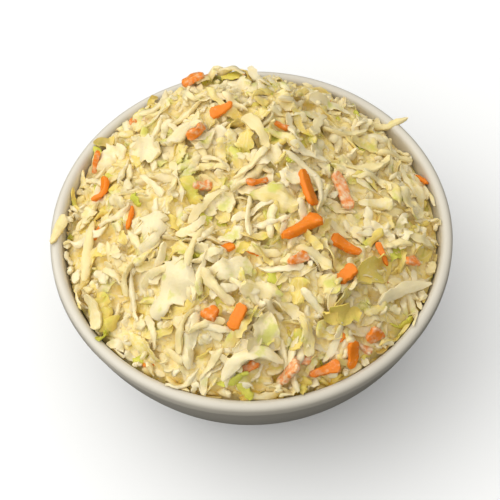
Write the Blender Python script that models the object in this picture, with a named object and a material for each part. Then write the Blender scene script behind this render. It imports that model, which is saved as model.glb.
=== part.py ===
"""A bowl of creamy coleslaw: a round stoneware bowl, and the heap of dressed shreds that fills it.

Run it with: blender --background --python part.py
Metres, +Z up. The origin is the middle of the foot ring, on the table, and -Y is the front.
"""

import math

import bmesh
import bpy
from mathutils import Matrix, Vector, noise

# Bowl
RIM_RADIUS = 0.075  # outermost radius, at the lip
LIP_THICKNESS = 0.0045  # across the rounded lip
BAND_HEIGHT = 0.0022  # straight outer side of the lip, below its round top
BAND_EDGE_RADIUS = 0.0008  # where the band turns in, and the cove that runs it into the wall
BAND_UNDERCUT = math.radians(52)  # from vertical, between the band's edge and the cove
WALL_THICKNESS = 0.0040
WALL_ARC = 0.110  # outer radius of the wall's long curve
WALL_SLOPE = math.radians(12)  # from vertical, at the top of the wall
HEEL_ARC = 0.028  # outer radius of the curve that turns in under the bowl
HEEL_SLOPE = math.radians(33)  # from vertical, at the top of the heel
UNDERSIDE_SLOPE = math.radians(82)  # from vertical, where the heel meets the foot
FOOT_HEIGHT = 0.0030
FOOT_WIDTH = 0.0045
FOOT_ROUND = 0.0008
FOOT_RECESS = 0.0018  # how far the underside stands above the table inside the foot

# Heap of coleslaw
HEAP_GAP = 0.0003  # clearance between the heap and the bowl
EDGE_DROP = 0.0058  # how far below the top of the lip the shreds meet the wall
EDGE_SWING = 0.0020  # more of that at the two sides, and less at the front and back
HEAP_RISE = 0.0275  # height of the dome above its edge
HEAP_FULLNESS = 2.8  # exponent of the dome: a higher one has steeper sides and a flatter top
BACK_FULLNESS = 3.4  # more of that at the back, where a tuft is piled up over the lip
BACK_BEARING = math.radians(100)  # where that tuft is, from +X towards +Y
BACK_NARROWNESS = 10  # exponent of how fast it falls off to its sides
BROAD_LUMP = 0.0068  # the most that the broad lumps stand above or below the dome
BROAD_SPACING = 0.026
FINE_LUMP = 0.0030  # the same for the lumps that single tufts of shreds make
FINE_SPACING = 0.010
FINE_SHIFT = Vector((7, 3, 1))  # takes the fine lumps from another place in the noise
LUMPS_END = 0.97  # share of the radius where the lumps have died away
LUMPS_FADE = 4  # exponent: with a higher one the lumps keep their height closer to the edge
SIDE_DROP = 0.0015  # least depth of the first ring of points under the heap's edge

# Facets
CHORD_ERROR = 0.0001  # how far a facet may lie from its arc
MOST_TURN = math.radians(23)  # of one facet on a tight arc
BOWL_STEPS = 64  # round the bowl
HEAP_STEPS = 54  # round the heap
HEAP_RINGS = 16  # from the heap's edge to its middle
MERGE_DISTANCE = 0.00002  # for the points that lie on the axis of turning


class Pen:
    """Draws a turned profile, stroke by stroke, in the plane of radius and height."""

    def __init__(self, radius, height, heading):
        self.at = Vector((radius, height))
        self.heading = heading  # 0 points outwards and a quarter turn points up
        self.points = [self.at.copy()]

    def line(self, length):
        self.at = self.at + length * Vector((math.cos(self.heading), math.sin(self.heading)))
        self.points.append(self.at.copy())

    def arc(self, radius, turn):
        """A round stretch that changes the heading by turn, which is positive to the left."""
        step_turn = min(MOST_TURN, 2 * math.acos(1 - CHORD_ERROR / radius))
        steps = math.ceil(abs(turn) / step_turn)
        to_left = Vector((-math.sin(self.heading), math.cos(self.heading)))
        centre = self.at + math.copysign(radius, turn) * to_left
        spoke = self.at - centre
        for step in range(1, steps + 1):
            self.points.append(centre + Matrix.Rotation(turn * step / steps, 2) @ spoke)
        self.at = self.points[-1].copy()
        self.heading += turn


def outer_profile():
    """From the top of the lip down the outside to the middle of the underside, the lip's top at height 0."""
    quarter = math.pi / 2
    pen = Pen(RIM_RADIUS - LIP_THICKNESS / 2, 0, heading=0)
    pen.arc(LIP_THICKNESS / 2, -quarter)
    pen.line(BAND_HEIGHT)
    pen.arc(BAND_EDGE_RADIUS, -BAND_UNDERCUT)
    pen.arc(BAND_EDGE_RADIUS, BAND_UNDERCUT - WALL_SLOPE)
    pen.arc(WALL_ARC, WALL_SLOPE - HEEL_SLOPE)
    pen.arc(HEEL_ARC, HEEL_SLOPE - UNDERSIDE_SLOPE)
    pen.arc(FOOT_ROUND, UNDERSIDE_SLOPE)
    pen.line(FOOT_HEIGHT - 2 * FOOT_ROUND)
    pen.arc(FOOT_ROUND, -quarter)
    pen.line(FOOT_WIDTH - 2 * FOOT_ROUND)
    pen.arc(FOOT_ROUND, -quarter)
    pen.line(FOOT_RECESS - FOOT_ROUND)
    pen.points.append(Vector((0, pen.at.y)))
    return pen.points


def inner_profile():
    """From the top of the lip down the inside to the middle of the floor, the lip's top at height 0."""
    pen = Pen(RIM_RADIUS - LIP_THICKNESS / 2, 0, heading=math.pi)
    pen.arc(LIP_THICKNESS / 2, math.pi / 2 - WALL_SLOPE)
    pen.line(BAND_HEIGHT)
    pen.arc(WALL_ARC - WALL_THICKNESS, WALL_SLOPE - HEEL_SLOPE)
    pen.arc(HEEL_ARC - WALL_THICKNESS, HEEL_SLOPE - UNDERSIDE_SLOPE)
    floor_slope = math.pi / 2 - UNDERSIDE_SLOPE
    pen.arc(pen.at.x / math.sin(floor_slope), -floor_slope)
    pen.points[-1].x = 0
    return pen.points


OUTER = outer_profile()
INNER = inner_profile()
RIM_HEIGHT = -min(point.y for point in OUTER)


def wall_radius(height):
    """Radius of the bowl's inner wall at a height above the table."""
    depth = height - RIM_HEIGHT
    for upper, lower in zip(INNER, INNER[1:]):
        if lower.y <= depth <= upper.y:
            share = (upper.y - depth) / (upper.y - lower.y)
            return upper.x + (lower.x - upper.x) * share
    raise ValueError("that height is above the lip or under the floor")


def edge_height(bearing):
    """Height above the table at which the heap meets the wall."""
    return RIM_HEIGHT - EDGE_DROP - EDGE_SWING * math.cos(2 * bearing)


def heap_height(bearing, share):
    """Height of the heap's top at a bearing, at a share of the way from its middle to its edge."""
    edge = edge_height(bearing)
    lumpiness = 1 - (share / LUMPS_END) ** LUMPS_FADE if share < LUMPS_END else 0
    fullness = HEAP_FULLNESS + BACK_FULLNESS * max(0, math.cos(bearing - BACK_BEARING)) ** BACK_NARROWNESS
    dome = HEAP_RISE * (1 - share**fullness)
    spot = Vector((math.cos(bearing), math.sin(bearing), 0)) * share * RIM_RADIUS
    broad = BROAD_LUMP * noise.noise(spot / BROAD_SPACING)
    fine = FINE_LUMP * noise.noise(spot / FINE_SPACING + FINE_SHIFT)
    middle = RIM_HEIGHT - EDGE_DROP
    return middle + (edge - middle) * share + dome + lumpiness * (broad + fine)


def material(name, colour, roughness):
    made = bpy.data.materials.new(name)
    made.use_nodes = True
    shader = made.node_tree.nodes["Principled BSDF"]
    shader.inputs["Base Color"].default_value = (*colour, 1)
    shader.inputs["Roughness"].default_value = roughness
    shader.inputs["Metallic"].default_value = 0
    return made


def place(name, mesh, surface):
    """Puts a mesh in the scene as a smoothly shaded object of its own."""
    made = bpy.data.objects.new(name, mesh)
    bpy.context.scene.collection.objects.link(made)
    mesh.materials.append(surface)
    mesh.shade_smooth()
    return made


def build_bowl():
    """The bowl, turned from its profile: up the inside, over the lip and down the outside to the foot."""
    profile = [*reversed(INNER), *OUTER[1:]]
    mesh = bpy.data.meshes.new("bowl")
    points = [(point.x, 0, point.y + RIM_HEIGHT) for point in profile]
    mesh.from_pydata(points, [(i, i + 1) for i in range(len(points) - 1)], [])
    bowl = place("bowl", mesh, material("glazed_stoneware", (0.82, 0.77, 0.67), 0.25))
    turn = bowl.modifiers.new("turn", "SCREW")
    turn.steps = turn.render_steps = BOWL_STEPS
    turn.use_merge_vertices = True
    turn.merge_threshold = MERGE_DISTANCE


def heap_rings():
    """The heap's rings of points, from just round the middle of its top to just round the middle of its base."""
    bearings = [math.tau * step / HEAP_STEPS for step in range(HEAP_STEPS)]
    edges = [(edge_height(b), wall_radius(edge_height(b)) - HEAP_GAP) for b in bearings]
    rings = []
    for ring in range(1, HEAP_RINGS + 1):
        share = ring / HEAP_RINGS
        reach = [radius * share for _, radius in edges]
        rings.append([(b, r, heap_height(b, share)) for b, r in zip(bearings, reach)])
    lowest_edge = RIM_HEIGHT - EDGE_DROP - EDGE_SWING
    for point in INNER[:-1]:
        height = point.y + RIM_HEIGHT + HEAP_GAP
        if height < lowest_edge - SIDE_DROP:
            rings.append([(b, point.x - HEAP_GAP, height) for b in bearings])
    return rings


def build_heap():
    """The heap: one solid from the bowl's floor to the uneven outline of the shreds."""
    shape = bmesh.new()
    rings = []
    for ring in heap_rings():
        rings.append([shape.verts.new((r * math.cos(b), r * math.sin(b), z)) for b, r, z in ring])
    top = shape.verts.new((0, 0, heap_height(0, 0)))
    base = shape.verts.new((0, 0, INNER[-1].y + RIM_HEIGHT + HEAP_GAP))
    for step in range(HEAP_STEPS):
        after = (step + 1) % HEAP_STEPS
        shape.faces.new((top, rings[0][step], rings[0][after]))
        shape.faces.new((base, rings[-1][after], rings[-1][step]))
        for upper, lower in zip(rings, rings[1:]):
            shape.faces.new((upper[step], lower[step], lower[after], upper[after]))
    mesh = bpy.data.meshes.new("coleslaw")
    shape.to_mesh(mesh)
    shape.free()
    place("coleslaw", mesh, material("dressed_cabbage", (0.84, 0.76, 0.48), 0.45))


def main():
    for old in list(bpy.data.objects):
        bpy.data.objects.remove(old)
    build_bowl()
    build_heap()


main()
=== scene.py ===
"""Looks of a bowl of creamy coleslaw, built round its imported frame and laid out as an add-on.

The bowl is turned afresh with fine facets. The heap becomes a core with the real things over it:
cabbage ribs, leaf strips, leaf pieces, chopped and green bits and carrot sticks, dropped one after
another on a map of heights until they reach the outline of the frame's heap. Lengths are in metres,
except the sizes in the tables of kinds and placed pieces, which are in millimetres.
"""

import math
from dataclasses import dataclass, field

import bpy
import numpy as np
from bpy.props import FloatProperty, FloatVectorProperty, IntProperty, PointerProperty
from mathutils import Matrix, Vector
from mathutils.bvhtree import BVHTree


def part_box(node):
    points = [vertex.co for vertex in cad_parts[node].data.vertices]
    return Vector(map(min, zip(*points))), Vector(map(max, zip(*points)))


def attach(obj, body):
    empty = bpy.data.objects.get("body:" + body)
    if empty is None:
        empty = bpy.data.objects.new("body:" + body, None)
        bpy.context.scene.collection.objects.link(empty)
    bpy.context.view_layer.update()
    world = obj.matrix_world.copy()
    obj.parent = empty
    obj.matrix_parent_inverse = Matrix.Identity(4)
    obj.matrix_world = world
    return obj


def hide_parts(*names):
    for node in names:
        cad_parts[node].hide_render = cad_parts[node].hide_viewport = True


bl_info = {
    "name": "Coleslaw in a bowl",
    "version": (1, 0, 0),
    "blender": (4, 5, 0),
    "location": "3D View > Sidebar > Coleslaw",
    "description": "Builds a bowl of creamy coleslaw, shred by shred",
    "category": "Object",
}

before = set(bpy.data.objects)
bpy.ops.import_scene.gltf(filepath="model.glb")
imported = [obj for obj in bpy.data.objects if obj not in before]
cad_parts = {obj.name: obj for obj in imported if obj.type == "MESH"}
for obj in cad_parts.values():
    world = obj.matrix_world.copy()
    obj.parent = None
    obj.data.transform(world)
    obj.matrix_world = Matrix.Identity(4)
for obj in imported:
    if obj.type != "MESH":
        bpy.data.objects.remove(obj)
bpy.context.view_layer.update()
RIM_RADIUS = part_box("bowl")[1].x
RIM_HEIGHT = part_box("bowl")[1].z

MM = 0.001
CELL = 0.4 * MM  # of the height map
SPAN = 160 * MM  # side of the height map
CELLS = round(SPAN / CELL)
COARSE = 2  # cells of the map to each ray that samples the frame
NOTHING = -1.0  # height where there is nothing to lie on


def linear(colour):
    """A hex sRGB colour as linear red, green and blue."""
    parts = [int(colour[i : i + 2], 16) / 255 for i in (1, 3, 5)]
    return [p / 12.92 if p <= 0.04045 else ((p + 0.055) / 1.055) ** 2.4 for p in parts]


def colour_property(name, description, default):
    return FloatVectorProperty(
        name=name, description=description, subtype="COLOR", default=linear(default), min=0, max=1
    )


def length_property(name, description, default):
    return FloatProperty(
        name=name, description=description, default=default, unit="LENGTH", precision=4
    )


def number_property(name, description, default):
    return FloatProperty(name=name, description=description, default=default)


def count_property(name, description, default, least):
    return IntProperty(name=name, description=description, default=default, min=least)


class BowlSettings(bpy.types.PropertyGroup):
    """Sizes and colours of the bowl."""

    lip: length_property("Lip thickness", "Across the rounded lip", 4.5 * MM)
    band: length_property(
        "Band height", "Straight outer side of the lip, below its round top", 2.2 * MM
    )
    wall: length_property("Wall thickness", "Thickness of the wall below the lip", 4.0 * MM)
    steps: count_property("Steps", "Facets round the bowl", 180, 12)
    glaze: colour_property("Glaze", "Cream-white glaze", "#D2CBBA")
    bare: colour_property("Bare clay", "Unglazed clay under the foot ring", "#CDBFA6")


class HeapSettings(bpy.types.PropertyGroup):
    """How the coleslaw is heaped."""

    depth: length_property("Shred depth", "How deep the pieces lie under the outline", 6.0 * MM)
    fill_drop: length_property(
        "Fill drop", "How far the pooled dressing stays under the packed pieces", 0.15 * MM
    )
    pieces: count_property("Pieces", "The most pieces dropped to reach the outline", 3600, 1)
    bits: count_property("Filling pieces", "Small pieces dropped in the hollows", 420, 0)
    loose: count_property("Loose pieces", "Larger pieces left lying on top", 240, 0)
    seed: count_property("Seed", "Another seed gives another lie of the shreds", 11, 0)


class ColourSettings(bpy.types.PropertyGroup):
    """Colours of what is in the coleslaw."""

    rib: colour_property("Cabbage rib", "Thick white rib of the leaf", "#EEDDAF")
    leaf: colour_property("Cabbage leaf", "Pale yellow heart leaf", "#E8CC68")
    green: colour_property("Green leaf", "Outer leaf", "#C8CA48")
    # Painted shade: this golden colour is laid on leaf that lies deep between the shreds, standing
    # in for the light bounced between the yellow shreds in the gaps.
    deep: colour_property("Crevice", "Leaf deep between shreds, where dressing pools", "#F0C41E")
    carrot: colour_property("Carrot", "Raw carrot", "#E37C12")
    dressing: colour_property("Dressing", "Creamy dressing", "#F1E4BE")


class StageSettings(bpy.types.PropertyGroup):
    """Camera and light."""

    elevation: FloatProperty(
        name="Elevation",
        description="Angle of the camera above the table",
        default=math.radians(57.4),
        subtype="ANGLE",
    )
    distance: length_property("Distance", "From the camera to the middle of the lip", 650 * MM)
    key: FloatProperty(name="Key", description="Power of the soft lamp", default=1.6, unit="POWER")
    fill: number_property("Fill", "Strength of the soft light from all round", 1.75)
    under: number_property("Under", "Share of that light that comes from below", 0.03)
    shade: number_property("Shade", "Share of that light that comes from the right", 0.36)
    floor: colour_property("Floor", "Plain pale floor", "#F2F2F0")


def node(tree, kind, inputs=None, **settings):
    """Adds a shader node. Settings are its fields, and inputs are values or sockets."""
    made = tree.nodes.new(kind)
    for name, value in settings.items():
        setattr(made, name, value)
    for name, value in (inputs or {}).items():
        socket = made.inputs[name]
        if isinstance(value, bpy.types.NodeSocket):
            tree.links.new(value, socket)
        elif socket.type == "RGBA":
            socket.default_value = (*value[:3], 1)
        else:
            socket.default_value = value
    return made


# The colour sockets of Blender's Mix node, by number because their names aren't unique
MIX_A, MIX_B, MIX_RESULT = 6, 7, 2


def blank(name):
    """An empty material, its tree and its output node."""
    made = bpy.data.materials.new(name)
    made.use_nodes = True
    made.node_tree.nodes.clear()
    return made, made.node_tree, node(made.node_tree, "ShaderNodeOutputMaterial")


def ramp(tree, factor, low, high):
    """0 where factor is under low, 1 where it is over high, and smooth between."""
    return node(
        tree,
        "ShaderNodeMapRange",
        {"Value": factor, "From Min": low, "From Max": high},
        interpolation_type="SMOOTHSTEP",
    ).outputs["Result"]


def mix(tree, factor, a, b):
    """Colour a where factor is 0 and colour b where it is 1."""
    made = node(tree, "ShaderNodeMix", {"Factor": factor, MIX_A: a, MIX_B: b}, data_type="RGBA")
    return made.outputs[MIX_RESULT]


GLAZE_CLOUD = 18 * MM  # across the faint clouds in the glaze
GLAZE_THIN = 0.965  # how much darker the glaze is where it is thin
GLAZE_LINE = (0.5 * MM, 0.9 * MM)  # heights between which the glaze ends
GLAZE_RIPPLE = 7 * MM  # across the ripples that a dipped glaze sets in
FIBRE_LENGTH = 9 * MM
PATCH = 4 * MM  # across the patches of a leaf's own colour
STREAK = 0.35  # how strongly the fibres show
GREEN_PATCH = 7 * MM  # across the green patches
FILM = 1.6 * MM  # across the gaps in the film of dressing
PAINTED_SHADE_DEPTHS = (-0.2 * MM, 3.8 * MM)  # depths between which a piece turns golden, as painted shade in the gaps
PAINTED_SHADE_SHARE = 0.75  # how golden that painted shade is in the end
BARE_ROUGHNESS, CREAMY_ROUGHNESS = 0.46, 0.28


def noise(tree, place, size, detail):
    """Noise whose patches are about a size across, from 0 to 1."""
    inputs = {"Vector": place, "Scale": 1 / size, "Detail": detail}
    return node(tree, "ShaderNodeTexNoise", inputs).outputs["Fac"]


def maths(tree, operation, a, b):
    """The sum or product of two values or sockets."""
    return node(tree, "ShaderNodeMath", {0: a, 1: b}, operation=operation).outputs["Value"]


def surfaced(made, tree, output, inputs):
    """Gives a material its surface, and returns it."""
    shader = node(tree, "ShaderNodeBsdfPrincipled", inputs)
    tree.links.new(shader.outputs["BSDF"], output.inputs["Surface"])
    return made


def glazed_stoneware(bowl):
    """Stoneware under a clear cream glaze, fired: a soft broad gloss, bare clay under the foot."""
    made, tree, output = blank("glazed_stoneware")
    place = node(tree, "ShaderNodeTexCoord").outputs["Object"]
    clouds = ramp(tree, noise(tree, place, GLAZE_CLOUD, 3), 0.3, 0.7)
    colour = mix(tree, clouds, [part * GLAZE_THIN for part in bowl.glaze], bowl.glaze)
    height = node(tree, "ShaderNodeSeparateXYZ", {"Vector": place}).outputs["Z"]
    colour = mix(tree, ramp(tree, height, *GLAZE_LINE), bowl.bare, colour)
    ripple = noise(tree, place, GLAZE_RIPPLE, 2)
    bump = node(tree, "ShaderNodeBump", {"Strength": 0.25, "Distance": 0.15 * MM, "Height": ripple})
    inputs = {"Base Color": colour, "Roughness": 0.3, "IOR": 1.5, "Normal": bump.outputs["Normal"]}
    return surfaced(made, tree, output, inputs)


def dressed(name, colours, pale, strong, coat, fibre, scatter, fresh=0.0):
    """A cut vegetable with creamy dressing on it.

    Each mesh carries two vectors: lie is the place along and across the piece, and look is its
    tone, its depth under the top of the heap and how much dressing it wears. Its depth tints it
    golden as painted shade, which stands in for the light bounced between the shreds in the gaps.
    Pale and strong are the ends of its own colour, coat is where the dressing starts and where it
    hides that colour, fibre is the width of its fibres, scatter is how far each colour of light
    goes in, and fresh is how much of the outer leaf's green shows.
    """
    made, tree, output = blank(name)
    place = node(tree, "ShaderNodeTexCoord").outputs["Object"]
    lie = node(tree, "ShaderNodeAttribute", attribute_name="lie").outputs["Vector"]
    look = node(tree, "ShaderNodeAttribute", attribute_name="look").outputs["Vector"]
    tone, depth, dressing = node(tree, "ShaderNodeSeparateXYZ", {"Vector": look}).outputs
    stretch = (1 / FIBRE_LENGTH, 1 / fibre, 1.0)
    stretched = node(tree, "ShaderNodeVectorMath", {0: lie, 1: stretch}, operation="MULTIPLY")
    fibres = noise(tree, stretched.outputs["Vector"], 1.0, 2)
    patches = noise(tree, place, PATCH, 3)
    body = mix(tree, ramp(tree, maths(tree, "ADD", patches, tone), 0.55, 1.45), pale, strong)
    streak = maths(tree, "MULTIPLY", ramp(tree, fibres, 0.42, 0.75), STREAK)
    body = mix(tree, streak, body, lighter(pale, 1.12))
    if fresh:
        tinted = ramp(tree, noise(tree, place, GREEN_PATCH, 3), 0.54, 0.7)
        body = mix(tree, maths(tree, "MULTIPLY", tinted, fresh), body, colours.green)
    film = noise(tree, place, FILM, 4)
    creamy = ramp(tree, maths(tree, "ADD", film, dressing), *coat)
    colour = mix(tree, creamy, body, colours.dressing)
    # Painted shade: pieces lying deep under the heap's smoothed top turn golden, standing in for
    # the light bounced between the yellow shreds in the gaps.
    painted_shade = mix(tree, PAINTED_SHADE_SHARE, colour, colours.deep)
    colour = mix(tree, ramp(tree, depth, *PAINTED_SHADE_DEPTHS), colour, painted_shade)
    rough = node(
        tree,
        "ShaderNodeMapRange",
        {"Value": creamy, "To Min": BARE_ROUGHNESS, "To Max": CREAMY_ROUGHNESS},
    )
    relief = maths(tree, "ADD", maths(tree, "MULTIPLY", fibres, 0.4), film)
    bump = node(tree, "ShaderNodeBump", {"Strength": 0.45, "Distance": 0.5 * MM, "Height": relief})
    inputs = {
        "Base Color": colour,
        "Roughness": rough.outputs["Result"],
        "IOR": 1.4,
        "Normal": bump.outputs["Normal"],
        "Subsurface Weight": 0.2,
        "Subsurface Radius": scatter,
        "Subsurface Scale": 3 * MM,
    }
    return surfaced(made, tree, output, inputs)


def lighter(colour, factor):
    """A linear colour brought nearer to white."""
    return [min(1, part * factor) for part in colour]


def rib_finish(c):
    """Cabbage rib, sliced raw: white, opaque and faintly streaked along its length."""
    strong = [0.6 * rib + 0.4 * leaf for rib, leaf in zip(c.rib, c.leaf)]
    coat, scatter = (0.7, 1.3), (1, 0.85, 0.5)
    return dressed("sliced_cabbage_rib", c, c.rib, strong, coat, 0.9 * MM, scatter, fresh=0.15)


def leaf_finish(c):
    """Heart leaf of cabbage, shredded raw: thin, pale yellow, mottled and lit through."""
    coat, scatter = (0.75, 1.35), (1, 0.85, 0.35)
    return dressed("shredded_cabbage_leaf", c, c.rib, c.leaf, coat, 0.7 * MM, scatter, fresh=0.65)


def green_finish(c):
    """Outer leaf of cabbage, shredded raw: yellow-green, darker along its veins."""
    return dressed("shredded_green_leaf", c, c.leaf, c.green, (0.85, 1.5), 0.6 * MM, (0.8, 1, 0.3))


def carrot_finish(c):
    """Raw carrot, cut in sticks: bright orange where it shows through its film of dressing."""
    pale = lighter(c.carrot, 1.1)
    return dressed("cut_carrot", c, pale, c.carrot, (0.75, 1.35), 0.8 * MM, (1, 0.5, 0.1))


def core_finish(c):
    """Shreds and pooled dressing deep in the heap, wet, with golden painted shade where little
    light comes.
    """
    scatter = (1, 0.8, 0.35)
    return dressed("pooled_dressing", c, c.rib, c.leaf, (0.8, 1.4), 1.2 * MM, scatter, fresh=0.4)


def matt_card(stage):
    """Plain pale card, uncoated: nothing to see but the soft shadow on it."""
    return surfaced(*blank("matt_card"), {"Base Color": stage.floor, "Roughness": 0.9})


@dataclass
class Kind:
    """A kind of piece in the heap: its sizes in millimetres and how it lies."""

    name: str
    finish: object  # the function that makes its material
    slot: str  # the record's material slot that it takes its finish from
    share: float  # the name of a material slot
    length: tuple
    width: tuple
    thickness: tuple
    bend: float  # sideways, as a share of its length
    curl: float  # how far its ends rise, as a share of its length
    roll: float  # spread of its roll round its length, in degrees
    pitch: float  # spread of its slope, in degrees
    limp: float  # 0 lies straight as a stick and 1 follows what it lies on
    taper: float  # exponent of its ends: 2 makes them round and 8 blunt
    ragged: float  # how uneven its edges are, as a share of its width
    cup: float  # how far its edges rise, as a share of its width
    crinkle: float  # height of its crinkles in millimetres
    twist: float  # degrees from end to end
    rings: int
    sides: int
    dressing: float  # most of what it wears
    corner: float = 0.6  # exponent of its cross-section: 1 is an ellipse and 0 a box
    laid: list = field(default_factory=list)


KINDS = [
    Kind(
        "cabbage_ribs", rib_finish, "dressed_cabbage",
        share=0.12, length=(6, 17), width=(1.8, 3.4), thickness=(1.0, 1.7),
        bend=0.12, curl=0.04, roll=17, pitch=6, limp=0.7, twist=60,
        taper=5, ragged=0.14, cup=0.08, crinkle=0.25,
        rings=15, sides=10, dressing=0.5,
    ),
    Kind(
        "leaf_strips", leaf_finish, "dressed_cabbage",
        share=0.25, length=(5, 16), width=(1.9, 4.0), thickness=(0.7, 1.1),
        bend=0.14, curl=0.05, roll=20, pitch=8, limp=0.85, twist=90,
        taper=4, ragged=0.20, cup=0.16, crinkle=0.50,
        rings=14, sides=10, dressing=0.5,
    ),
    Kind(
        "leaf_pieces", leaf_finish, "dressed_cabbage",
        share=0.13, length=(5, 12), width=(3.6, 7.5), thickness=(0.7, 1.1),
        bend=0.07, curl=0.05, roll=14, pitch=8, limp=0.85, twist=45,
        taper=3, ragged=0.28, cup=0.12, crinkle=0.75,
        rings=14, sides=16, dressing=0.5,
    ),
    Kind(
        "chopped_bits", rib_finish, "dressed_cabbage",
        share=0.34, length=(2.2, 6.0), width=(1.8, 3.8), thickness=(1.0, 2.0),
        bend=0.06, curl=0.05, roll=28, pitch=16, limp=0.4, twist=50,
        taper=3, ragged=0.34, cup=0.12, crinkle=0.45,
        rings=8, sides=10, dressing=0.6,
    ),
    Kind(
        "green_bits", green_finish, "green_leaf",
        share=0.06, length=(3.5, 10), width=(2.0, 4.6), thickness=(0.7, 1.1),
        bend=0.08, curl=0.05, roll=20, pitch=9, limp=0.7, twist=50,
        taper=3.5, ragged=0.34, cup=0.22, crinkle=0.50,
        rings=12, sides=10, dressing=0.4,
    ),
    Kind(
        "carrot_sticks", carrot_finish, "carrot",
        share=0.02, length=(3, 8), width=(1.8, 3.4), thickness=(1.3, 2.2),
        bend=0.05, curl=0.03, roll=24, pitch=12, limp=0.2, twist=25,
        taper=12, ragged=0.07, cup=0.0, crinkle=0.12, corner=0.35,
        rings=12, sides=12, dressing=0.7,
    ),
]

RIB, STRIP, LEAF, BIT, GREEN, STICK = KINDS

# The shares of the kinds that are dropped to reach the outline, to fill hollows and to lie on top
PACKING = [(kind, kind.share) for kind in KINDS]
FILLING = [(STRIP, 0.22), (BIT, 0.68), (GREEN, 0.07), (STICK, 0.03)]
LOOSE = [(RIB, 0.38), (STRIP, 0.42), (LEAF, 0.2)]

# Pieces that catch the eye, laid last in this order: kind, place and heading from above in
# millimetres and degrees, then length, width and thickness, and how else it differs.
PLACED = [
    (LEAF, -30, -35, 48, (19, 14, 1.2), {"tone": 0.1}),
    (LEAF, 3, -54, 70, (16, 11, 1.2), {"tone": 0.2}),
    (GREEN, 43, -28, 48, (19, 10, 1.3), {"tone": 0.2}),
    (GREEN, 31, -46, 15, (14, 7, 1.0), {"tone": 0.2}),
    (LEAF, -36, -12, 70, (17, 8, 1.4), {"tone": 0.0}),
    (LEAF, 9, -4, -20, (18, 9, 1.0), {"tone": 0.5}),
    (LEAF, -8, -31, 14, (16, 8, 1.2), {"tone": 0.2}),
    (LEAF, 3, -39, -6, (15, 7, 1.2), {"tone": 0.4}),
    (LEAF, -24, 28, 15, (17, 10, 1.2), {"tone": 0.2}),
    (LEAF, -38, 26, -30, (13, 10, 1.2), {"tone": 0.1}),
    (LEAF, -52, 32, 20, (12, 9, 1.2), {"tone": 0.3}),
    (GREEN, -55, -36, -60, (14, 9, 1.2), {"tone": 0.3}),
    (GREEN, -21, 2, -50, (11, 7, 1.0), {"tone": 0.4}),
    (GREEN, -5, 57, 20, (8, 6, 1.0), {"tone": 0.5}),
    (RIB, 54, -32, 33, (25, 4.6, 2.0), {}),
    (RIB, 22, 7, -58, (24, 3.2, 1.6), {"bow": -0.22}),
    (RIB, -60, -9, -98, (24, 3.6, 1.8), {}),
    (RIB, -13, -38, -48, (16, 3.8, 1.8), {}),
    (RIB, -58, -34, -72, (15, 5.0, 2.0), {}),
    (STRIP, -2, -61, 14, (22, 5.0, 1.4), {}),
    (STRIP, -40, -50, -50, (17, 5.0, 1.2), {}),
    (RIB, 46, 18, 28, (19, 4.0, 1.8), {}),
    (RIB, 37, 33, 10, (17, 3.8, 1.6), {}),
    (RIB, 4, 24, -62, (18, 4.4, 1.8), {}),
    (STRIP, -6, 58, 155, (13, 5.0, 1.3), {"pitch": 60, "over_rim": True, "tone": 0.1, "lift": 1.5}),
    (STRIP, -41, 52, 40, (10, 3.0, 1.0), {"pitch": 52, "over_rim": True}),
    (STRIP, -14, 60, 20, (12, 6.0, 1.3), {"over_rim": True, "tone": 0.3}),
    (RIB, 55, 46, 6, (15, 3.2, 1.5), {"over_rim": True}),
    (RIB, -72, 3, -108, (14, 3.6, 1.6), {"over_rim": True}),
    (STICK, 18, -16, 38, (17, 5.0, 3.0), {"dressing": 0.2, "bow": 0.02}),
    (STICK, 21, 0, -75, (14, 4.6, 2.4), {"dressing": 0.15}),
    (STICK, 34, 4, 108, (15, 4.6, 2.4), {"dressing": 0.5}),
    (STICK, 34, -19, -25, (11, 3.6, 2.2), {"dressing": 0.25}),
    (STICK, -55, 14, 60, (9, 3.6, 2.0), {"dressing": 0.1, "bow": 0.3, "pitch": 0}),
    (STICK, -20, 58, 30, (9, 6.0, 2.6), {"dressing": 0.4}),
    (STICK, -9, 35, 25, (9, 3.6, 2.0), {"dressing": 0.2}),
    (STICK, -6, -48, 62, (9, 4.4, 2.4), {"dressing": 0.1}),
    (STICK, -15, -46, 40, (6, 5.0, 2.4), {"dressing": 0.3}),
    (STICK, 42, -50, 30, (6, 5.0, 2.4), {"dressing": 0.4}),
    (STICK, 34, -57, 80, (7, 4.0, 2.2), {"dressing": 0.2}),
    (STICK, 24, -62, 15, (11, 3.6, 2.2), {"dressing": 0.3}),
    (STICK, 11, -64, 25, (8, 5.0, 2.4), {"dressing": 0.5}),
    (STICK, -58, 32, 70, (6, 3.0, 2.0), {"dressing": 0.4}),
    (STICK, 58, -20, 20, (5, 3.6, 2.0), {"dressing": 0.4}),
    (STICK, 3, 2, 15, (8, 3.6, 2.0), {"dressing": 0.3}),
    (STICK, -17, 5, 20, (7, 3.6, 2.0), {"dressing": 0.5}),
    (STICK, -19, 25, 30, (7, 4.0, 2.0), {"dressing": 0.4}),
    (STICK, 16, -29, 30, (8, 3.4, 2.0), {"dressing": 0.4}),
    (STICK, 33, -33, 40, (8, 4.6, 2.4), {"dressing": 0.2}),
    (STICK, 47, -20, 110, (9, 2.0, 1.6), {"dressing": 0.2}),
    (STICK, -44, -2, 75, (8, 2.0, 1.4), {"dressing": 0.2}),
]


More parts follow.
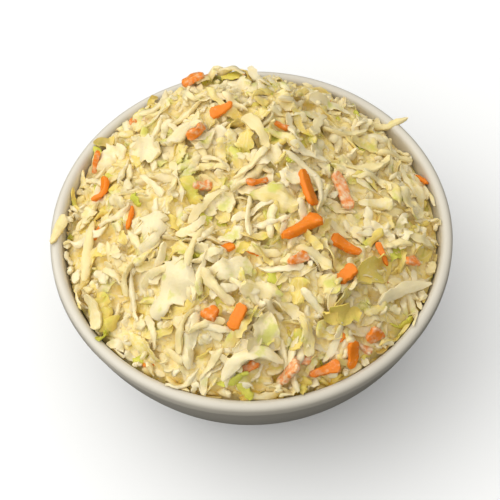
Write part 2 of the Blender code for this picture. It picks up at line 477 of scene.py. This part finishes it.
class HeightMap:
    """What a piece would come to lie on at each place, as heights over a grid of cells."""

    def __init__(self, heights):
        self.heights = heights

    def cell(self, x, y):
        """The numbers of the cells that places fall in, counted row by row."""
        column = np.clip(((x + SPAN / 2) / CELL).astype(int), 0, CELLS - 1)
        row = np.clip(((y + SPAN / 2) / CELL).astype(int), 0, CELLS - 1)
        return row * CELLS + column

    def at(self, x, y):
        """The heights at places."""
        return self.heights.ravel()[self.cell(x, y)]

    def raise_to(self, x, y, z):
        """Raises the cells under points that are higher than them."""
        np.maximum.at(self.heights.reshape(-1), self.cell(x, y).ravel(), z.ravel())


RAY_START = 10 * MM  # above the node


def tops(node_name, spots):
    """Heights at which rays from above meet a CAD node, or NOTHING where they miss it."""
    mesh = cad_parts[node_name].data
    tree = BVHTree.FromPolygons([v.co for v in mesh.vertices], [p.vertices for p in mesh.polygons])
    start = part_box(node_name)[1].z + RAY_START
    found = []
    for x, y in spots:
        place = tree.ray_cast(Vector((x, y, start)), Vector((0, 0, -1)))[0]
        found.append(place.z if place else NOTHING)
    return np.array(found)


def grid_of(node_name):
    """The heights of a CAD node's top over the whole height map."""
    side = CELLS // COARSE
    line = (np.arange(side) + 0.5) * SPAN / side - SPAN / 2
    coarse = tops(node_name, [(x, y) for y in line for x in line]).reshape(side, side)
    return np.repeat(np.repeat(coarse, COARSE, 0), COARSE, 1)


EDGE = 1 * MM  # of the bowl's outline, where rays might miss it
WALL_STEP = 0.25 * MM  # between the rays that measure the wall


class Wall:
    """The bowl's inner wall, as the frame has it: its radius at each height."""

    def __init__(self):
        radii = np.arange(0, RIM_RADIUS - EDGE, WALL_STEP)
        heights = tops("bowl", [(0, -r) for r in radii])
        crest = int(np.argmax(heights))
        self.radii, self.heights = radii[: crest + 1], heights[: crest + 1]

    def radius(self, height):
        return np.interp(height, self.heights, self.radii)


# The wall, and the height maps: the aim is the frame's heap, ground is what pieces come to lie on,
# packed is ground before the loose layer, top is packed smoothed, and fill is the core's top
heap = {}

PROBE = 0.4  # from a piece's middle line to where it feels the ground, as a share of its width
STEEPEST = 0.45  # how far an end rises at most, as a share of the length
EASING = np.array((1, 4, 6, 4, 1)) / 16  # weights that round off what a piece follows
STEEPEST_LEAN = 1.2  # as a tangent
LEANING = 0.8  # share of the ground's lean that a piece takes
CONTACT = 0.8  # share of its middle line that isn't lower than what it lies on
SEAT = 0.35  # how far it is raised further, as a share of its thickness
TIPPED = 0.3  # how far it rises when it is on its side, as a share of its width


def draped(kind, rng, ground, x, y, heading, length, width, thickness, pitch=None, bow=None):
    """Lays a piece on the ground at a place and heading, and returns its middle line and roll."""
    u = np.linspace(-1, 1, kind.rings)
    along = np.array((math.cos(heading), math.sin(heading)))
    aside = np.array((-along[1], along[0]))
    bow = (rng.normal(0, kind.bend) if bow is None else bow) * length * (u * u - 1 / 3)
    px = x + along[0] * u * length / 2 + aside[0] * bow
    py = y + along[1] * u * length / 2 + aside[1] * bow
    across = np.array((-PROBE, 0, PROBE)) * width
    under = ground.at(px[:, None] + aside[0] * across, py[:, None] + aside[1] * across)
    support = 0.5 * under.max(axis=1) + 0.5 * under.mean(axis=1)
    mean = support.mean()
    fitted = (u * (support - mean)).sum() / (u * u).sum()
    slope = np.clip(fitted, -STEEPEST * length, STEEPEST * length)
    pitch = rng.normal(0, kind.pitch) if pitch is None else pitch
    slope += math.tan(math.radians(pitch)) * length / 2
    line = mean + slope * u
    padded = np.pad(support, 2, mode="edge")
    eased = np.convolve(padded, EASING, mode="valid")
    z = line + kind.limp * (eased - line)
    z += abs(rng.normal(0, kind.curl)) * length * (u * u - 1 / 3)
    lean = (under[:, 2] - under[:, 0]).mean() / (2 * PROBE * width)
    extra = math.radians(rng.normal(0, kind.roll))
    roll = LEANING * math.atan(np.clip(lean, -STEEPEST_LEAN, STEEPEST_LEAN)) + extra
    tipped = TIPPED * abs(math.sin(extra)) * width
    z += np.quantile(support - z, CONTACT) + thickness * SEAT + tipped
    return np.stack((px, py, z), axis=1), roll


MARKS = 1.4  # points to each cell that a piece covers
BLUNT = 0.9  # how far its ends close, from 0 to 1
CREST = 0.45  # its top over its middle line, as a share of its thickness


def mark(ground, line, roll, heading, width, thickness, taper):
    """Raises the height map to the top of a piece that has come to rest."""
    length = np.linalg.norm(np.diff(line, axis=0), axis=1).sum()
    u = np.linspace(0, 1, max(4, int(MARKS * length / CELL)))
    knots = np.linspace(0, 1, len(line))
    middle = [np.interp(u, knots, line[:, axis]) for axis in range(3)]
    v = np.linspace(-0.5, 0.5, max(3, int(MARKS * width / CELL)))[None, :]
    ends = np.sqrt(1 - np.abs(2 * u - 1) ** taper * BLUNT)[:, None]
    spread = v * width * math.cos(roll) * ends
    x = middle[0][:, None] - math.sin(heading) * spread
    y = middle[1][:, None] + math.cos(heading) * spread
    z = middle[2][:, None] + v * width * math.sin(roll) + CREST * thickness
    ground.raise_to(x, y, z)


PHASES = 12  # random angles that shape each piece
TRIES = 6  # headings that a piece is tried at before it is given up
OVERHANG = 0.25  # how far its edge counts past its middle line, as a share of its width
INTO_WALL = 0.8 * MM  # how far a piece may cross the wall before it is pressed against it
STEEP, STEEP_START = 0.6, 1.5 * MM  # a piece that rises more, for its length, is tried again


def place_piece(kind, rng, x, y, heading=None, size=None, lift=0.0, over_rim=False, **more):
    """Drops one piece, or none where no heading lets it fit inside the bowl.

    Size and lift are in millimetres, and more can give its tone, dressing, pitch and bow.
    """
    ground, wall = heap["ground"], heap["wall"]
    pick = [rng.uniform(*span) for span in (kind.length, kind.width, kind.thickness)]
    length, width, thickness = np.array(size or pick) * MM
    bend = more.get("pitch"), more.get("bow")
    for _ in range(TRIES):
        turned = rng.uniform(0, math.tau) if heading is None else math.radians(heading)
        line, roll = draped(kind, rng, ground, x, y, turned, length, width, thickness, *bend)
        reach = np.hypot(line[:, 0], line[:, 1]).max() + OVERHANG * width
        steep = np.ptp(line[:, 2]) > STEEP * length + STEEP_START
        inside = reach < wall.radius(line[:, 2].mean()) + INTO_WALL
        if over_rim or size or (inside and not steep):
            break
    else:
        return
    line[:, 2] += lift * MM
    mark(ground, line, roll, turned, width, thickness, kind.taper)
    tone = more["tone"] if "tone" in more else rng.uniform(0, 1)
    dressing = more["dressing"] if "dressing" in more else rng.uniform(0, kind.dressing)
    phase = rng.uniform(0, math.tau, PHASES)
    piece = {"line": line, "roll": roll, "length": length, "width": width, "thickness": thickness}
    piece |= {"tone": tone, "dressing": dressing, "phase": phase, "over_rim": over_rim}
    kind.laid.append(piece)


def drawn(rng, choices):
    """One kind, picked at random from pairs of a kind and its share."""
    shares = np.array([share for _, share in choices])
    return choices[rng.choice(len(choices), p=shares / shares.sum())][0]


def lowest(rng, aim, spots, reach):
    """Of some spots picked at random, the one where the heap is furthest under its aim.

    Returns its x, y, radius and bearing, and how far the heap is under the aim.
    """
    radius = reach * np.sqrt(rng.uniform(0, 1, spots))
    bearing = rng.uniform(0, math.tau, spots)
    x, y = radius * np.cos(bearing), radius * np.sin(bearing)
    wanting = aim.at(x, y) - heap["ground"].at(x, y)
    best = int(np.argmax(wanting))
    return [values[best] for values in (x, y, radius, bearing, wanting)]


REACH_HEIGHT = 5 * MM  # under the rim, where the wall's radius limits the spots
REACH_MARGIN = 0.5 * MM
PACKING_SPOTS, FILLING_SPOTS = 14, 10
CLOSE_ENOUGH = 0.3 * MM  # to the aim, where no more pieces are dropped
BAND = 5 * MM  # along the wall, where pieces lie along it and more of them are chopped bits
BAND_TURN = 22  # spread of their heading, in degrees
BAND_BITS = 0.25
HOLLOWS = 3  # times that the heap is smoothed to find its hollows
LOOSE_MARGIN = 6 * MM
LARGER = 0.7, 0.3  # weights of a kind's least and greatest size, for the smallest loose piece
LOOSE_LIFT, PLACED_LIFT = -0.3, -0.5  # in millimetres


def settle(settings):
    """Packs pieces up to the aim, fills the hollows, and lays the loose and placed ones."""
    rng = np.random.default_rng(settings.seed)
    reach = heap["wall"].radius(RIM_HEIGHT - REACH_HEIGHT) - REACH_MARGIN
    for _ in range(settings.pieces):
        x, y, radius, bearing, wanting = lowest(rng, heap["aim"], PACKING_SPOTS, reach)
        if wanting < CLOSE_ENOUGH:
            break
        kind, heading = drawn(rng, PACKING), None
        if radius > reach - BAND:
            heading = math.degrees(bearing) + 90 + rng.normal(0, BAND_TURN)
            if rng.uniform() < BAND_BITS:
                kind = BIT
        place_piece(kind, rng, x, y, heading)
    low = HeightMap(smoothed(heap["ground"].heights, HOLLOWS))
    for _ in range(settings.bits):
        x, y, *_ = lowest(rng, low, FILLING_SPOTS, reach)
        place_piece(drawn(rng, FILLING), rng, x, y)
    heap["packed"] = heap["ground"].heights.copy()
    for _ in range(settings.loose):
        radius = (reach - LOOSE_MARGIN) * math.sqrt(rng.uniform())
        bearing = rng.uniform(0, math.tau)
        x, y = radius * math.cos(bearing), radius * math.sin(bearing)
        kind = drawn(rng, LOOSE)
        size = [
            rng.uniform(LARGER[0] * least + LARGER[1] * most, most)
            for least, most in (kind.length, kind.width, kind.thickness)
        ]
        place_piece(kind, rng, x, y, size=size, lift=LOOSE_LIFT)
    for kind, x, y, heading, size, more in PLACED:
        place_piece(kind, rng, x * MM, y * MM, heading, size, **{"lift": PLACED_LIFT, **more})


# Turns of each wave along a piece, and its weight
WAVES = ((0.6, 0.45), (1.5, 0.4), (2.9, 0.35))


def waves(u, phases):
    """A smooth uneven line for each piece, from about -1 to 1."""
    total = 0.0
    for (turns, weight), phase in zip(WAVES, phases):
        total = total + weight * np.sin(math.tau * turns * u + phase)
    return total


TIP = 0.985  # leaves the ends a little width, for the faces that close them
THIN_END = 0.35  # thickness of an end, as a share of the middle's
WEDGE = 0.4  # how much wider one end can be
TORN = 0.6  # how much a piece's edge jumps from ring to ring
CRINKLE_ALONG, CRINKLE_ACROSS = 3.5 * MM, 2.5 * MM  # a crinkle is pi times as long
DEEPEST = 10 * MM  # that a piece's depth is told to its material


def piece_meshes(kind):
    """The points and attributes of all the pieces of a kind: arrays of piece, ring and side."""
    laid = kind.laid

    def column(key):
        return np.array([piece[key] for piece in laid])[:, None, None]

    line = np.array([piece["line"] for piece in laid])
    count, rings = line.shape[:2]
    length, width, thickness = column("length"), column("width"), column("thickness")
    phase = np.moveaxis(column("phase"), -1, 0)
    u = np.linspace(-1, 1, rings)[None, :, None]
    tangent = np.gradient(line, axis=1)
    tangent /= np.linalg.norm(tangent, axis=2, keepdims=True)
    aside = np.cross((0, 0, 1.0), tangent)
    aside /= np.linalg.norm(aside, axis=2, keepdims=True)
    upright = np.cross(tangent, aside)
    twist = math.radians(kind.twist) * np.sin(phase[0])
    roll = column("roll") + twist * u / 2
    side = aside * np.cos(roll) + upright * np.sin(roll)
    normal = upright * np.cos(roll) - aside * np.sin(roll)
    angle = math.tau * (np.arange(kind.sides) + 0.5) / kind.sides
    # Across and up the cross-section, from -1 to 1
    a, b = (
        (np.sign(part) * np.abs(part) ** kind.corner)[None, None, :]
        for part in (np.cos(angle), np.sin(angle))
    )
    taper = kind.taper * 2 ** np.sin(phase[1] * 3)
    ends = np.sqrt(1 - np.abs(TIP * u) ** taper)
    wedge = 1 + WEDGE * u * np.cos(phase[2] * 3)
    torn = TORN * np.random.default_rng(count).uniform(-1, 1, (2, count, rings, 1))
    edge = np.where(a > 0, waves(u, phase[1:4]) + torn[0], waves(u, phase[4:7]) + torn[1])
    reach = a * width / 2 * ends * wedge * (1 + kind.ragged * edge)
    thick = thickness / 2 * (THIN_END + (1 - THIN_END) * ends)
    thick = thick * (1 + kind.ragged * waves(u, phase[7:10]))
    wave_along = np.sin(u * length / CRINKLE_ALONG + phase[10] + 1.5 * a)
    wave_across = np.sin(a * width / CRINKLE_ACROSS + phase[11] + 1.2 * u)
    rise = 1.5 * kind.cup * width * (a * a - 0.4) * np.cos(phase[10] / 2)
    rise = rise + kind.crinkle * MM * (wave_along + 0.6 * wave_across) * ends
    points = line[:, :, None, :] + side[:, :, None, :] * reach[..., None]
    points = points + normal[:, :, None, :] * (b * thick + rise)[..., None]
    points += lumps(points)
    # The last part keeps the fibres of one piece from going on in the next
    lie = (u * length / 2, a * width / 2, 10 * phase[11] + 0 * a * u)
    inside_bowl(points, column("over_rim"))
    # The depth under the smoothed top drives the golden painted shade in the gaps.
    depth = heap["top"].at(points[..., 0], points[..., 1]) - points[..., 2]
    look = (column("tone"), np.clip(depth, 0, DEEPEST), column("dressing"))
    return points, *(np.stack(np.broadcast_arrays(*parts), axis=-1) for parts in (lie, look))


LUMP, LUMP_SIZE = 0.16 * MM, 0.55 * MM


def lumps(points):
    """Small uneven shifts of points, alike for points that are near each other."""
    x, y, z = (points[..., axis] / LUMP_SIZE for axis in range(3))
    shift = [
        np.sin(0.9 * x + 1.7 * np.sin(0.6 * y + 0.5 * z)),
        np.sin(0.8 * y + 1.9 * np.sin(0.7 * z + 0.6 * x)),
        np.sin(0.7 * z + 1.8 * np.sin(0.5 * x + 0.8 * y)),
    ]
    return LUMP * np.stack(shift, axis=-1)


WALL_GAP = 0.35 * MM  # between the wall and the pieces pressed against it
FREE_HEIGHT = 0.3 * MM  # under the rim, above which pieces can lean over the lip


def inside_bowl(points, over_rim):
    """Presses the pieces that would cross the bowl's wall against its inside."""
    radius = np.hypot(points[..., 0], points[..., 1])
    limit = heap["wall"].radius(points[..., 2]) - WALL_GAP
    below = points[..., 2] < RIM_HEIGHT - FREE_HEIGHT
    crossing = (radius > limit) & below & ~over_rim
    factor = np.where(crossing, limit / np.maximum(radius, MM), 1)
    points[..., 0] *= factor
    points[..., 1] *= factor


def give_vectors(mesh, **vectors):
    """Gives each point of a mesh the vectors that its material reads."""
    for name, values in vectors.items():
        attribute = mesh.attributes.new(name, "FLOAT_VECTOR", "POINT")
        attribute.data.foreach_set("vector", values.reshape(-1).astype(np.float32))


# In a piece's square of the UV map: its skin, and the discs that close its ends
UV_MARGIN = 0.03
UV_ALONG, UV_ROUND = 0.84, 0.94
UV_DISC, UV_FIRST, UV_LAST = 0.045, (0.94, 0.25), (0.94, 0.75)
SHARP = math.radians(48)


def tubes_mesh(name, points, lie, look):
    """One mesh of closed tubes, each a piece, with a square of its own on the UV map."""
    count, rings, sides = points.shape[:3]
    base = (np.arange(count) * rings * sides)[:, None, None]
    i = np.arange(rings - 1)[None, :, None] * sides
    j = np.arange(sides)[None, None, :]
    after = (j + 1) % sides
    corners = (i + j, i + after, i + sides + after, i + sides + j)
    quads = np.stack([base + corner for corner in corners], axis=-1).reshape(-1, 4)
    first = (base[:, 0] + np.arange(sides)[::-1]).reshape(-1, sides)
    last = (base[:, 0] + (rings - 1) * sides + np.arange(sides)).reshape(-1, sides)
    faces = quads.tolist() + first.tolist() + last.tolist()
    mesh = bpy.data.meshes.new(name)
    mesh.from_pydata(points.reshape(-1, 3).tolist(), [], faces)
    mesh.shade_smooth()
    mesh.set_sharp_from_angle(angle=SHARP)
    give_vectors(mesh, lie=lie, look=look)
    across = math.ceil(math.sqrt(count))
    square = np.stack((np.arange(count) % across, np.arange(count) // across), axis=-1) / across
    shape = (count, rings - 1, sides)
    u = np.broadcast_to(UV_MARGIN + UV_ALONG * i / sides / (rings - 1), shape)
    v = np.broadcast_to(UV_MARGIN + UV_ROUND * j / sides, shape)
    u_next, v_next = u + UV_ALONG / (rings - 1), v + UV_ROUND / sides
    corners = ((u, v), (u, v_next), (u_next, v_next), (u_next, v))
    quad_uv = np.stack([np.stack(corner, axis=-1) for corner in corners], axis=3)
    quad_uv = square[:, None, None, None, :] + quad_uv / across
    angle = math.tau * np.arange(sides) / sides
    disc = UV_DISC * np.stack((np.cos(angle), np.sin(angle)), axis=-1)
    first_uv = square[:, None, :] + (disc[::-1] + UV_FIRST) / across
    last_uv = square[:, None, :] + (disc + UV_LAST) / across
    uv = np.concatenate([part.reshape(-1, 2) for part in (quad_uv, first_uv, last_uv)])
    layer = mesh.uv_layers.new(name="OFBake")
    layer.uv.foreach_set("vector", uv.reshape(-1).astype(np.float32))
    return mesh


def show(name, mesh, finish, replaced=None):
    """Puts a mesh in the scene, riding on the frame's body."""
    made = bpy.data.objects.new(name, mesh)
    bpy.context.scene.collection.objects.link(made)
    mesh.materials.append(finish)
    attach(made, "root")
    if replaced:
        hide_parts(replaced)


class Pen:
    """Draws a turned profile, stroke by stroke, in the plane of radius and height."""

    def __init__(self, radius, height, heading):
        self.at = Vector((radius, height))
        self.heading = heading
        self.points = [self.at.copy()]

    def line(self, length, steps=1):
        start = self.at.copy()
        step = Vector((math.cos(self.heading), math.sin(self.heading))) * length / steps
        self.points += [start + step * (k + 1) for k in range(steps)]
        self.at = self.points[-1].copy()

    def arc(self, radius, turn, steps):
        to_left = Vector((-math.sin(self.heading), math.cos(self.heading)))
        centre = self.at + math.copysign(radius, turn) * to_left
        spoke = self.at - centre
        for step in range(1, steps + 1):
            self.points.append(centre + Matrix.Rotation(turn * step / steps, 2) @ spoke)
        self.at = self.points[-1].copy()
        self.heading += turn


LIP_STEPS, WALL_STEPS, HEEL_STEPS, FLOOR_STEPS, ROUND_STEPS = 10, 14, 12, 6, 4
WALL_ARC = 110 * MM  # the wall's long outer curve
HEEL_ARC = 28 * MM  # the curve that turns in under the bowl
BAND_EDGE = 0.8 * MM
WALL_SLOPE, HEEL_SLOPE, UNDER_SLOPE = (math.radians(a) for a in (12, 33, 82))
UNDERCUT = math.radians(52)
FOOT_HEIGHT, FOOT_WIDTH, FOOT_ROUND = 3 * MM, 4.5 * MM, 0.8 * MM
FOOT_HOLLOW = 1.8 * MM  # from the table to the underside inside the foot ring


def bowl_profile(bowl):
    """From the floor's middle up the inside, over the lip and down to the underside's middle."""
    quarter = math.pi / 2
    inner = Pen(RIM_RADIUS - bowl.lip / 2, RIM_HEIGHT, math.pi)
    inner.arc(bowl.lip / 2, quarter - WALL_SLOPE, LIP_STEPS)
    inner.line(bowl.band, 2)
    inner.arc(WALL_ARC - bowl.wall, WALL_SLOPE - HEEL_SLOPE, WALL_STEPS)
    inner.arc(HEEL_ARC - bowl.wall, HEEL_SLOPE - UNDER_SLOPE, HEEL_STEPS)
    rest = quarter - UNDER_SLOPE
    inner.arc(inner.at.x / math.sin(rest), -rest, FLOOR_STEPS)
    inner.points[-1].x = 0
    outer = Pen(RIM_RADIUS - bowl.lip / 2, RIM_HEIGHT, 0)
    outer.arc(bowl.lip / 2, -quarter, LIP_STEPS)
    outer.line(bowl.band, 2)
    outer.arc(BAND_EDGE, -UNDERCUT, ROUND_STEPS)
    outer.arc(BAND_EDGE, UNDERCUT - WALL_SLOPE, ROUND_STEPS)
    outer.arc(WALL_ARC, WALL_SLOPE - HEEL_SLOPE, WALL_STEPS)
    outer.arc(HEEL_ARC, HEEL_SLOPE - UNDER_SLOPE, HEEL_STEPS)
    outer.arc(FOOT_ROUND, UNDER_SLOPE, ROUND_STEPS)
    outer.line(FOOT_HEIGHT - 2 * FOOT_ROUND)
    outer.arc(FOOT_ROUND, -quarter, ROUND_STEPS)
    outer.line(FOOT_WIDTH - 2 * FOOT_ROUND)
    outer.arc(FOOT_ROUND, -quarter, ROUND_STEPS)
    outer.line(FOOT_HOLLOW - FOOT_ROUND)
    outer.points.append(Vector((0, outer.at.y)))
    return [*reversed(inner.points), *outer.points[1:]]


def closed_rings(name, rings, start, end):
    """A smooth mesh over rings of points, closed by one point at each end."""
    total, steps = len(rings), len(rings[0])
    points = [*np.concatenate(rings).tolist(), start, end]
    last = (total - 1) * steps
    faces = []
    for k in range(steps):
        after = (k + 1) % steps
        faces.append((total * steps, k, after))
        faces.append((total * steps + 1, last + after, last + k))
        for low in range(0, last, steps):
            faces.append((low + after, low + k, low + steps + k, low + steps + after))
    mesh = bpy.data.meshes.new(name)
    mesh.from_pydata(points, [], faces)
    mesh.shade_smooth()
    return mesh


def ring(radius, height, steps):
    """Points round the Z axis."""
    angle = math.tau * np.arange(steps) / steps
    heights = np.full(steps, float(height))
    return np.stack((radius * np.cos(angle), radius * np.sin(angle), heights), axis=-1)


class COLESLAW_OT_bowl(bpy.types.Operator):
    """Turn the glazed bowl"""

    bl_idname = "coleslaw.bowl"
    bl_label = "Bowl"

    def execute(self, context):
        bowl = context.scene.coleslaw_bowl
        start, *body, end = bowl_profile(bowl)
        rings = [ring(at.x, at.y, bowl.steps) for at in body]
        mesh = closed_rings("bowl_glazed", rings, (0, 0, start.y), (0, 0, end.y))
        show("bowl_glazed", mesh, glazed_stoneware(bowl), "bowl")
        return {"FINISHED"}


LIP_MARGIN = 2 * MM  # of the bowl's outline: from there outwards the map stays at the rim's height
WALL_START = 60 * MM  # radius from which the ground isn't lower than the wall
TOP_SMOOTHING = 4


class COLESLAW_OT_core(bpy.types.Operator):
    """Settle the shreds in the bowl, and fill it with the core that they lie on"""

    bl_idname = "coleslaw.core"
    bl_label = "Core"

    def execute(self, context):
        settings = context.scene.coleslaw_heap
        wall = Wall()
        aim = grid_of("coleslaw")
        line = (np.arange(CELLS) + 0.5) * CELL - SPAN / 2
        x, y = np.meshgrid(line, line)
        radius = np.hypot(x, y)
        rim = np.interp(radius, wall.radii, wall.heights)
        rim[radius > RIM_RADIUS - LIP_MARGIN] = RIM_HEIGHT
        start = np.where(aim > NOTHING, aim - settings.depth, rim)
        walled = np.maximum(start, rim * (radius > WALL_START))
        start = np.where(radius < RIM_RADIUS - EDGE, walled, start)
        heap["wall"] = wall
        heap["aim"] = HeightMap(aim)
        heap["ground"] = HeightMap(start)
        settle(settings)
        heap["top"] = HeightMap(smoothed(heap["packed"], TOP_SMOOTHING))
        heap["fill"] = HeightMap(sunk(heap["packed"]) - settings.fill_drop)
        finish = core_finish(context.scene.coleslaw_colours)
        show("coleslaw_core", core_mesh(), finish, "coleslaw")
        return {"FINISHED"}


def nearby(heights, choose, reach):
    """The lowest or highest of the heights round each cell."""
    found = heights
    for axis in (0, 1):
        found = choose.reduce([np.roll(found, shift, axis) for shift in range(-reach, reach + 1)])
    return found


GAP, CLEAR = 2, 3  # cells


def sunk(heights):
    """The heights with narrow gaps filled and the edges of the pieces left clear."""
    return smoothed(nearby(nearby(heights, np.maximum, GAP), np.minimum, CLEAR), 1, 1)


def smoothed(heights, times, reach=3):
    """The heights with their small bumps smoothed away."""
    found = heights.copy()
    wide = 2 * reach + 1
    for _ in range(times):
        padded = np.pad(found, reach, mode="edge")
        found = sum(padded[i : i + CELLS, reach : reach + CELLS] for i in range(wide)) / wide
        padded = np.pad(found, reach, mode="edge")
        found = sum(padded[reach : reach + CELLS, i : i + CELLS] for i in range(wide)) / wide
    return found


CORE_STEPS, CORE_RINGS, CORE_SIDE_RINGS = 560, 160, 12
CORE_DROP = 6 * MM  # from the rim to the core's edge
CORE_GAP = 0.4 * MM  # between the core and the wall
CORE_BLEND = 0.04  # share of the radius over which the top comes to the edge's height
CORE_BUMP = 0.3 * MM
CORE_TONE, CORE_DRESSING = 0.6, 0.4
CORE_DEEPEST = 5 * MM
SHALLOW, SHALLOWEST, DEEP = 5 * MM, 0.1, 0.7  # near the wall the golden painted shade is weaker, by these shares


def core_mesh():
    """The core: a solid from the bowl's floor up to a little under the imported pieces."""
    wall, fill = heap["wall"], heap["fill"]
    angle = math.tau * np.arange(CORE_STEPS) / CORE_STEPS
    edge_height = RIM_HEIGHT - CORE_DROP
    edge = wall.radius(edge_height) - CORE_GAP
    rings = []
    for number in range(1, CORE_RINGS + 1):
        radius = edge * number / CORE_RINGS
        x, y = radius * np.cos(angle), radius * np.sin(angle)
        bump = np.sin(x / (1.1 * MM) + 2 * np.sin(y / (1.5 * MM)))
        bump = bump * np.sin(y / (1.2 * MM) + 2 * np.sin(x / (1.9 * MM)))
        z = fill.at(x, y) + CORE_BUMP * bump
        blend = np.clip((number / CORE_RINGS - (1 - CORE_BLEND)) / CORE_BLEND, 0, 1)
        rings.append(np.stack((x, y, z * (1 - blend) + edge_height * blend), axis=-1))
    floor = wall.heights[0]
    for height in np.linspace(edge_height, floor + 1 * MM, CORE_SIDE_RINGS)[1:]:
        rings.append(ring(wall.radius(height) - CORE_GAP, height, CORE_STEPS))
    top = (0, 0, fill.at(np.zeros(1), np.zeros(1))[0])
    base = (0, 0, floor + 0.5 * MM)
    mesh = closed_rings("coleslaw_core", rings, top, base)
    points = np.concatenate((*rings, [top, base]))
    x, y, z = points.T
    # Painted shade: the core's depth under the smoothed top turns it golden, less so near the wall.
    inside = np.clip((edge - np.hypot(x, y)) / SHALLOW, SHALLOWEST, DEEP)
    depth = np.clip(heap["top"].at(x, y) - z, 0, CORE_DEEPEST) * inside
    look = np.stack(np.broadcast_arrays(CORE_TONE, depth, CORE_DRESSING), axis=-1)
    give_vectors(mesh, lie=points, look=look)
    return mesh


class COLESLAW_OT_shreds(bpy.types.Operator):
    """Build the loose pieces, one mesh for each kind"""

    bl_idname = "coleslaw.shreds"
    bl_label = "Shreds"

    def execute(self, context):
        for kind in KINDS:
            if not kind.laid:
                raise RuntimeError(f"no {kind.name} were laid: build the core first")
            mesh = tubes_mesh(kind.name, *piece_meshes(kind))
            show(kind.name, mesh, kind.finish(context.scene.coleslaw_colours))
        return {"FINISHED"}


FLOOR_HALF = 4.0  # metres, so that its far edge stays out of low views
LAMP_PLACE, LAMP_SIZE = (-0.62, 0.0, 0.55), 1.0
HORIZON_FADE = (0, 0.6)  # heights on the unit sphere between which the light comes up
SHADE_FADE = (-0.6, 0.8)  # the same from left to right, where the light goes down
LENS, SENSOR, NEAREST = 125.7, 36, 0.01
SHIFT = (-0.002, -0.042)
CAMERA_ROLL = math.radians(-2.3)


class COLESLAW_OT_stage(bpy.types.Operator):
    """Set the floor, the light and the camera"""

    bl_idname = "coleslaw.stage"
    bl_label = "Stage"

    def execute(self, context):
        scene = context.scene
        stage = scene.coleslaw_stage
        scene.view_settings.view_transform = "Standard"
        self.floor(scene, stage)
        self.world(scene, stage)
        self.lamp(scene, stage)
        self.camera(scene, stage)
        return {"FINISHED"}

    def floor(self, scene, stage):
        mesh = bpy.data.meshes.new("floor")
        half = FLOOR_HALF
        corners = [(-half, -half, 0), (half, -half, 0), (half, half, 0), (-half, half, 0)]
        mesh.from_pydata(corners, [], [(0, 1, 2, 3)])
        floor = bpy.data.objects.new("floor", mesh)
        scene.collection.objects.link(floor)
        mesh.materials.append(matt_card(stage))
        floor.visible_diffuse = False
        floor.visible_glossy = False

    def world(self, scene, stage):
        world = bpy.data.worlds.new("soft_box")
        world.use_nodes = True
        tree = world.node_tree
        way = node(tree, "ShaderNodeTexCoord").outputs["Generated"]
        right, _, height = node(tree, "ShaderNodeSeparateXYZ", {"Vector": way}).outputs
        sky = mix(tree, ramp(tree, right, *SHADE_FADE), (1, 1, 1), (stage.shade,) * 3)
        colour = mix(tree, ramp(tree, height, *HORIZON_FADE), (stage.under,) * 3, sky)
        background = tree.nodes["Background"].inputs
        background["Strength"].default_value = stage.fill
        tree.links.new(colour, background["Color"])
        scene.world = world

    def lamp(self, scene, stage):
        light = bpy.data.lights.new("key", "AREA")
        light.shape = "DISK"
        light.size = LAMP_SIZE
        light.energy = stage.key
        shown = bpy.data.objects.new("key", light)
        scene.collection.objects.link(shown)
        shown.location = LAMP_PLACE
        aim = Vector((0, 0, RIM_HEIGHT)) - Vector(LAMP_PLACE)
        shown.rotation_euler = aim.to_track_quat("-Z", "Y").to_euler()

    def camera(self, scene, stage):
        middle = Vector((0, 0, RIM_HEIGHT))
        sight = Vector((0, math.cos(stage.elevation), -math.sin(stage.elevation)))
        camera = bpy.data.cameras.new("camera")
        camera.lens, camera.sensor_width, camera.clip_start = LENS, SENSOR, NEAREST
        camera.shift_x, camera.shift_y = SHIFT
        shown = bpy.data.objects.new("camera", camera)
        scene.collection.objects.link(shown)
        shown.location = middle - sight * stage.distance
        level = sight.to_track_quat("-Z", "Y").to_matrix()
        shown.rotation_euler = (level @ Matrix.Rotation(CAMERA_ROLL, 3, "Z")).to_euler()
        scene.camera = shown


OPERATORS = [COLESLAW_OT_bowl, COLESLAW_OT_core, COLESLAW_OT_shreds, COLESLAW_OT_stage]
SETTINGS = {
    "coleslaw_bowl": BowlSettings,
    "coleslaw_heap": HeapSettings,
    "coleslaw_colours": ColourSettings,
    "coleslaw_stage": StageSettings,
}


class COLESLAW_PT_panel(bpy.types.Panel):
    """Lists the coleslaw's settings and steps"""

    bl_idname = "COLESLAW_PT_panel"
    bl_label = "Coleslaw"
    bl_space_type = "VIEW_3D"
    bl_region_type = "UI"
    bl_category = "Coleslaw"

    def draw(self, context):
        for name, group in SETTINGS.items():
            box = self.layout.box()
            for key in group.__annotations__:
                box.prop(getattr(context.scene, name), key)
        for operator in OPERATORS:
            self.layout.operator(operator.bl_idname)


def register():
    for group in (*SETTINGS.values(), *OPERATORS, COLESLAW_PT_panel):
        bpy.utils.register_class(group)
    for name, group in SETTINGS.items():
        setattr(bpy.types.Scene, name, PointerProperty(type=group))


def unregister():
    for name in SETTINGS:
        delattr(bpy.types.Scene, name)
    for group in reversed((*SETTINGS.values(), *OPERATORS, COLESLAW_PT_panel)):
        bpy.utils.unregister_class(group)


def main():
    register()
    bpy.ops.coleslaw.bowl()
    bpy.ops.coleslaw.core()
    bpy.ops.coleslaw.shreds()
    bpy.ops.coleslaw.stage()


if __name__ == "__main__":
    main()
